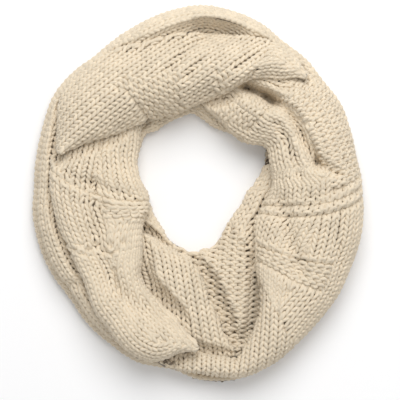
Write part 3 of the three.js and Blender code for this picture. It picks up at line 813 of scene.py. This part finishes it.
# Left band: the upper turn's run down the left side, from under the top flap to the tip that is
# tucked over the front. The same chunky knit, folded along both edges, lying on the lower turn.
LEFT_BAND = [
    # angle, outer, inner, outer foot, outer roof, middle roof, inner roof, inner foot
    (132, 136, 85, 20, 34, 34, 30, 20), (138, 137, 75, 20, 36, 35, 29, 16),
    (144, 138, 70, 24, 38, 36, 30, 15), (152, 139, 65, 28, 40, 38, 32, 15),
    (160, 140, 63, 31, 43, 40, 34, 16), (168, 141, 60, 32, 47, 42, 37, 17),
    (176, 141, 57, 33, 50, 45, 41, 18), (184, 140, 53, 33, 51, 47, 43, 18),
    (194, 139, 51, 33, 51, 47, 44, 18), (205, 138, 53, 33, 51, 47, 44, 18),
    (212, 139, 63, 33, 51, 47, 44, 22), (218, 141, 70, 33, 51, 47, 44, 26),
    (224, 147, 77, 33, 51, 47, 44, 28), (230, 155, 86, 33, 51, 48, 44, 28),
    (236, 159, 101, 33, 51, 48, 44, 24), (242, 166, 109, 31, 50, 48, 44, 22),
    (248, 171, 114, 28, 50, 48, 44, 22), (253, 172, 119, 26, 49, 48, 43, 24),
    (258, 166, 124, 24, 47, 46, 43, 27), (262, 158, 133, 28, 45, 44, 42, 31),
    (266, 155, 141, 32, 43, 42, 41, 34), (270, 155, 148, 36, 42, 41, 41, 36),
]
LEFT_BAND_FOLDS = [
    (10, 8, [(182, 101), (195, 101), (205, 109), (215, 116), (222, 121), (232, 125), (240, 126),
             (250, 124), (258, 121)]),
    (5, 3, [(173, 137), (179, 113), (184, 86), (195, 60)]),
]
LEFT_BAND_ROWS = [(132, 0), (172, 28), (177, 28), (202, 20), (208, 20), (222, 10), (246, 0), (268, 0)]
LEFT_BAND_ZONES = [
    ("garter", 172, 177, 0.0, 1.0),
    ("purl", 178, 190, 0.5, 0.95),
    ("seed", 202, 208, 0.0, 0.7),
]
make_stretch(
    "left_band", 132, 268, band_section(LEFT_BAND), LEFT_BAND_FOLDS, LEFT_BAND_ROWS, LEFT_BAND_ZONES,
    seed=12,
)

# Right band: the upper turn's run up the right side, from the front to the strand that ends under
# the top flap. The same chunky knit, with a deep crease along its middle near the back.
RIGHT_BAND = [
    # angle, outer, inner, outer foot, outer roof, middle roof, inner roof, inner foot
    (-112, 156, 140, 20, 23, 24, 24, 18), (-108, 165, 147, 19, 25, 26, 25, 18),
    (-104, 171, 151, 18, 26, 27, 26, 18), (-98, 176, 153, 16, 28, 29, 27, 19),
    (-90, 178, 157, 14, 30, 31, 29, 20), (-84, 181, 160, 14, 33, 34, 32, 21),
    (-79, 183, 163, 15, 36, 37, 35, 22), (-76, 183, 155, 15, 38, 39, 37, 23),
    (-72, 181, 144, 16, 41, 42, 40, 23), (-68, 179, 133, 16, 43, 45, 43, 23),
    (-64, 176, 118, 17, 45, 47, 45, 23), (-59, 172, 94, 17, 45, 48, 45, 22),
    (-54, 169, 81, 17, 45, 48, 44, 22), (-48, 166, 70, 17, 46, 48, 42, 22),
    (-40, 163, 61, 17, 47, 49, 41, 22), (-30, 158, 57, 17, 47, 50, 42, 22),
    (-20, 155, 58, 17, 47, 50, 43, 22), (-10, 151, 61, 17, 47, 51, 45, 24),
    (0, 147, 63, 17, 48, 52, 48, 26), (10, 144, 63, 17, 48, 52, 48, 27),
    (20, 144, 64, 17, 48, 53, 48, 27), (27, 144, 66, 17, 48, 53, 47, 27),
    (33, 145, 63, 17, 48, 53, 46, 27), (38, 145, 57, 17, 48, 53, 45, 26),
    (44, 142, 53, 18, 48, 53, 44, 24), (52, 140, 52, 28, 46, 51, 44, 24),
    (60, 139, 52, 33, 44, 48, 44, 24), (68, 134, 55, 33, 41, 44, 43, 24),
    (76, 131, 59, 31, 38, 40, 41, 24), (84, 130, 64, 28, 35, 36, 37, 24),
    (92, 129, 74, 26, 32, 33, 31, 22), (96, 128, 81, 25, 30, 31, 29, 20),
]
RIGHT_BAND_FOLDS = [
    (6, 30, [(50, 98), (57, 98), (66, 97)]),
    (5, 12, [(54, 101), (46, 101), (38, 102), (30, 101), (23, 100), (16, 102), (10, 106)]),
    (4, 7, [(10, 106), (6, 116), (4, 124)]),
    (4, 4, [(38, 86), (32, 85), (18, 86), (5, 88)]),
    (7, 6, [(-15, 74), (-22, 81), (-30, 90), (-35, 99), (-39, 110), (-42, 118)]),
    (5, 3, [(-35, 152), (-30, 144), (-25, 137), (-20, 132), (-12, 131)]),
    (5, 3, [(-9, 97), (-8, 106), (-6, 112), (-2, 127)]),
]
RIGHT_BAND_ROWS = [
    (-112, 0), (-60, 0), (-38, -20), (-24, -26), (-3, -28), (2, -20), (16, 0), (48, 0), (70, 0), (96, 0),
]
RIGHT_BAND_ZONES = [
    ("purl", -38, -24, 0.25, 0.95),
    ("garter", -3, 2, 0.1, 1.0),
    ("purl", 4, 48, 0.08, 0.46),
    ("purl", 48, 96, 0.62, 0.9),
]
make_stretch(
    "right_band", -112, 96, band_section(RIGHT_BAND), RIGHT_BAND_FOLDS, RIGHT_BAND_ROWS,
    RIGHT_BAND_ZONES, seed=13,
    patches=[(-112, -60, 88)],
)

# Inner fold: a smaller fold that comes out from under the left band at the front of the ring.
INNER_FOLD = [
    # angle, outer, inner, outer foot, outer roof, middle roof, inner roof, inner foot
    (216, 88, 74, 16, 24, 26, 26, 14), (222, 92, 69, 18, 25, 28, 28, 13),
    (228, 98, 67, 20, 27, 30, 31, 12), (236, 112, 66, 20, 29, 33, 34, 12),
    (244, 123, 66, 20, 30, 34, 34, 12), (252, 132, 67, 20, 31, 35, 34, 12),
    (260, 146, 68, 18, 30, 34, 33, 12), (266, 160, 77, 16, 28, 32, 31, 13),
    (271, 165, 90, 15, 26, 30, 29, 13), (275, 166, 112, 14, 24, 27, 26, 13),
    (278, 166, 132, 14, 22, 24, 23, 13), (280, 166, 150, 14, 20, 22, 21, 14),
]
make_stretch(
    "inner_fold", 216, 280, band_section(INNER_FOLD), [], [(216, 0), (248, 0), (280, 0)], [],
    seed=14,
    patches=[(216, 280, 98)],
)

# Inner panel: the lower turn's inner face at the front and the right, down to the neck opening's
# edge on the floor. Under loop: the same at the back and left, where it shows dark.
INNER_PANEL = [
    # angle, outer, outer foot, outer roof, middle roof, inner roof
    (204, 70, 8, 14, 17, 17), (212, 81, 8, 16, 19, 18), (230, 99, 9, 20, 22, 20),
    (245, 121, 10, 22, 23, 20), (258, 146, 10, 22, 23, 21), (268, 164, 10, 20, 23, 22),
    (276, 167, 12, 20, 23, 22), (284, 165, 12, 21, 24, 23), (292, 152, 10, 22, 24, 23),
    (300, 120, 11, 23, 25, 23), (310, 94, 12, 23, 24, 22), (320, 81, 12, 22, 22, 20),
    (340, 79, 12, 21, 21, 20), (350, 81, 12, 21, 21, 20), (360, 85, 12, 21, 21, 20),
    (376, 85, 12, 20, 20, 19),
]
INNER_PANEL_FOLDS = [(8, 9, [(284, 150), (290, 140), (295, 118), (300, 100)])]
UNDER_LOOP = [
    # angle, outer, outer foot, outer roof, middle roof, inner roof
    (16, 86, 12, 20, 20, 18), (60, 80, 12, 20, 20, 18), (100, 90, 12, 20, 20, 17),
    (150, 92, 12, 19, 19, 17), (204, 78, 12, 18, 18, 17),
]


def face_section(rows):
    """Reads a face's rows: its inner edge is the neck opening's, on the floor."""

    def section(angles):
        names = ["outer", "outer_foot", "outer_roof", "mid_roof", "inner_roof"]
        part = {name: column(rows, n + 1, angles)[:, None] for n, name in enumerate(names)}
        part["inner"] = column(OUTLINE, 2, angles % 360)[:, None]
        part["inner_foot"] = np.zeros_like(part["inner"])
        return part

    return section


make_stretch(
    "inner_panel", 204, 376, face_section(INNER_PANEL), INNER_PANEL_FOLDS,
    [(204, 0), (240, 0), (306, 0), (340, 0), (376, 0)], [("purl", 250, 306, 0.0, 1.0)],
    seed=15, split=0.0,
    patches=[(240, 306, 86)],
)
make_stretch(
    "under_loop", 16, 204, face_section(UNDER_LOOP), [],
    [(16, 0), (60, 0), (110, 0), (160, 0), (204, 0)], [],
    seed=16, split=0.0,
)

# Outer turn: the lower turn's outer flank, all round the ring, from the floor up to where the
# upper turn lies on it. The same chunky knit, folded over at its lower edge.
OUTER_TURN = [
    # angle, outer roof, middle roof, inner roof
    (0, 24, 24, 22), (40, 25, 25, 22), (54, 27, 28, 24), (60, 33, 33, 26), (68, 43, 41, 30),
    (78, 46, 45, 32), (100, 47, 46, 34), (112, 45, 44, 34), (124, 40, 42, 32), (136, 34, 34, 26),
    (150, 31, 32, 24), (200, 29, 36, 30), (240, 29, 34, 28), (252, 28, 28, 24), (262, 26, 24, 20),
    (280, 24, 22, 18), (330, 24, 23, 20), (360, 24, 24, 22),
]
OUTER_TURN_FOLDS = [
    (5, 4, [(217, 164), (219, 146)]),
    (5, 4, [(241, 174), (242, 158)]),
]
FLANK = {"width": 50, "proud": 2, "inner_foot": 10}


def flank_section(angles):
    """The lower turn's outer flank, a little proud of the upper turn's outline."""
    outer = column(OUTLINE, 1, angles % 360)[:, None] + FLANK["proud"]
    roofs = {
        name: column(OUTER_TURN, n + 1, angles % 360)[:, None]
        for n, name in enumerate(["outer_roof", "mid_roof", "inner_roof"])
    }
    feet = {"outer_foot": 0 * outer, "inner_foot": 0 * outer + FLANK["inner_foot"]}
    return {"outer": outer, "inner": outer - FLANK["width"], **roofs, **feet}


make_stretch(
    "outer_turn", 0, 360, flank_section, OUTER_TURN_FOLDS,
    [(angle, 0) for angle in range(0, 361, 30)], [],
    seed=17, split=1.0,
)

# Hidden turns: the layers in the middle of the pile, which carry the rest and lie flat on the
# floor. Only slivers of them show, between the folds and from below.
CORE = {"inset": 12, "roof": 60, "below": 1.0, "across": 40, "floor": 0.4}


def core_section(angles):
    """The space inside both edges of the ring, up to what covers it."""
    outer = column(OUTLINE, 1, angles % 360)[:, None] - CORE["inset"]
    inner = column(OUTLINE, 2, angles % 360)[:, None] + CORE["inset"]
    roofs = {name: 0 * outer + CORE["roof"] for name in ("outer_roof", "mid_roof", "inner_roof")}
    return {"outer": outer, "inner": inner, **roofs, "outer_foot": 0 * outer, "inner_foot": 0 * outer}


def hidden_shell(name, cloth):
    """The outermost of the hidden layers: a closed skin, rounded on top and flat on the floor."""
    stations = np.arange(0, 360, BACKING["degrees"])
    share = np.linspace(0, 1, CORE["across"] + 1)[None, :]
    angle = stations[:, None] + 0 * share
    field = read_cloth(cloth, angle, share * cloth["widths"][stations][:, None])
    point = field[..., :3] - field[..., 3:6] * CORE["below"]
    point[:, [0, -1], 2] = CORE["floor"]
    point[..., 2] = np.maximum(point[..., 2], CORE["floor"])
    rows, columns = point.shape[:2]
    number = np.arange(rows * columns).reshape(rows, columns)
    ahead = np.roll(number, -1, axis=0)
    beside, ahead_beside = np.roll(number, -1, axis=1), np.roll(ahead, -1, axis=1)
    return shell_object(name, point, np.stack([number, ahead, ahead_beside, beside], axis=-1))


core = hidden_shell("hidden_turns_cloth", lay_cloth(0, 360, core_section))
# The hidden turns take the backing's painted shade, as their slivers lie in shade between the folds.
core.data.materials.append(shaded_backing)
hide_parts("hidden_turns")
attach(core, "root")
